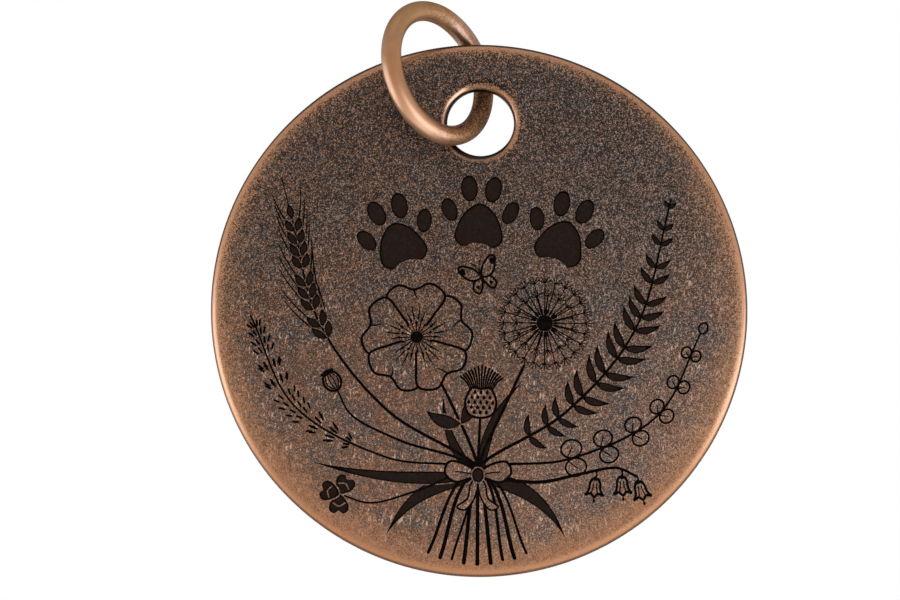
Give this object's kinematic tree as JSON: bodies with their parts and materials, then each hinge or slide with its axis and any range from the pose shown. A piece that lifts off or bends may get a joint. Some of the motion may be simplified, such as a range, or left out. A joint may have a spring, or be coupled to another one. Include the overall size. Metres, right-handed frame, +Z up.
{
  "type": "pet id tag",
  "caption": "Round metal pet tag with tumbled edges and a rounded hanging hole, hung on a round-wire jump ring that clips to a collar.",
  "frame": {"origin": "middle of the jump ring's eye, where the collar's ring passes", "axes": "+Z up, towards the collar, in the plane of the disc; +X to the right seen from the engraved face; +Y away from the viewer, square to the disc, so the engraved face looks along -Y"},
  "size_m": [0.032, 0.0068, 0.0344],
  "materials": {
    "worn_copper": "satin copper plate, rubbed bright, brown in the hollows",
    "antique_copper": "antique copper plate, dark mottled patina rubbed bright on the edges"
  },
  "bodies": {
    "ring": {"jump_ring": "worn_copper"},
    "disc": {"tag_disc": "antique_copper"}
  },
  "joints": [
    {"name": "tag_swing", "type": "hinge", "parent": "ring", "child": "disc", "pos_m": [0, 0, 0], "axis": [0.7063, -0.6839, 0.1827], "continuous": true}
  ]
}
